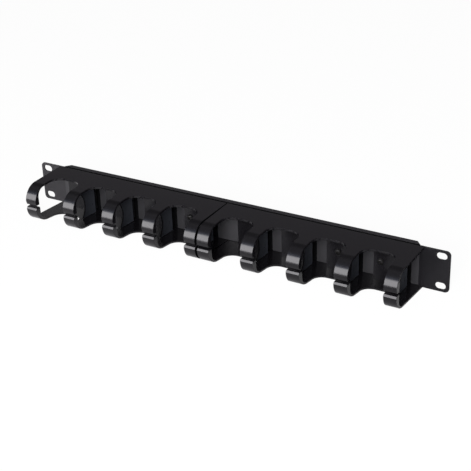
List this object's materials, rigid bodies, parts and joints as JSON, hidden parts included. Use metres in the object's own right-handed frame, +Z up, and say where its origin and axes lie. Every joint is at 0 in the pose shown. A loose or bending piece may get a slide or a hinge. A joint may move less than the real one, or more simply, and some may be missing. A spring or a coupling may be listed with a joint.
{
  "type": "rack cable lacing bar",
  "caption": "Folded steel rack panel with moulded rows of split fingers, which hold cables in open bays along its front.",
  "frame": {"origin": "centre of the four rack slots, on the rear face of the ears, which meets the rack rails", "axes": "+X along the bar to the right as seen from the front, +Y back into the rack, +Z up"},
  "size_m": [0.4826, 0.0713, 0.044],
  "materials": {
    "powder_coat": "fine satin powder coat",
    "finger_plastic": "glossy moulded",
    "screw_black": "black zinc"
  },
  "bodies": {
    "root": {"steel_panel": "powder_coat", "left_finger_module": "finger_plastic", "right_finger_module": "finger_plastic", "module_screws": "screw_black"}
  },
  "joints": []
}
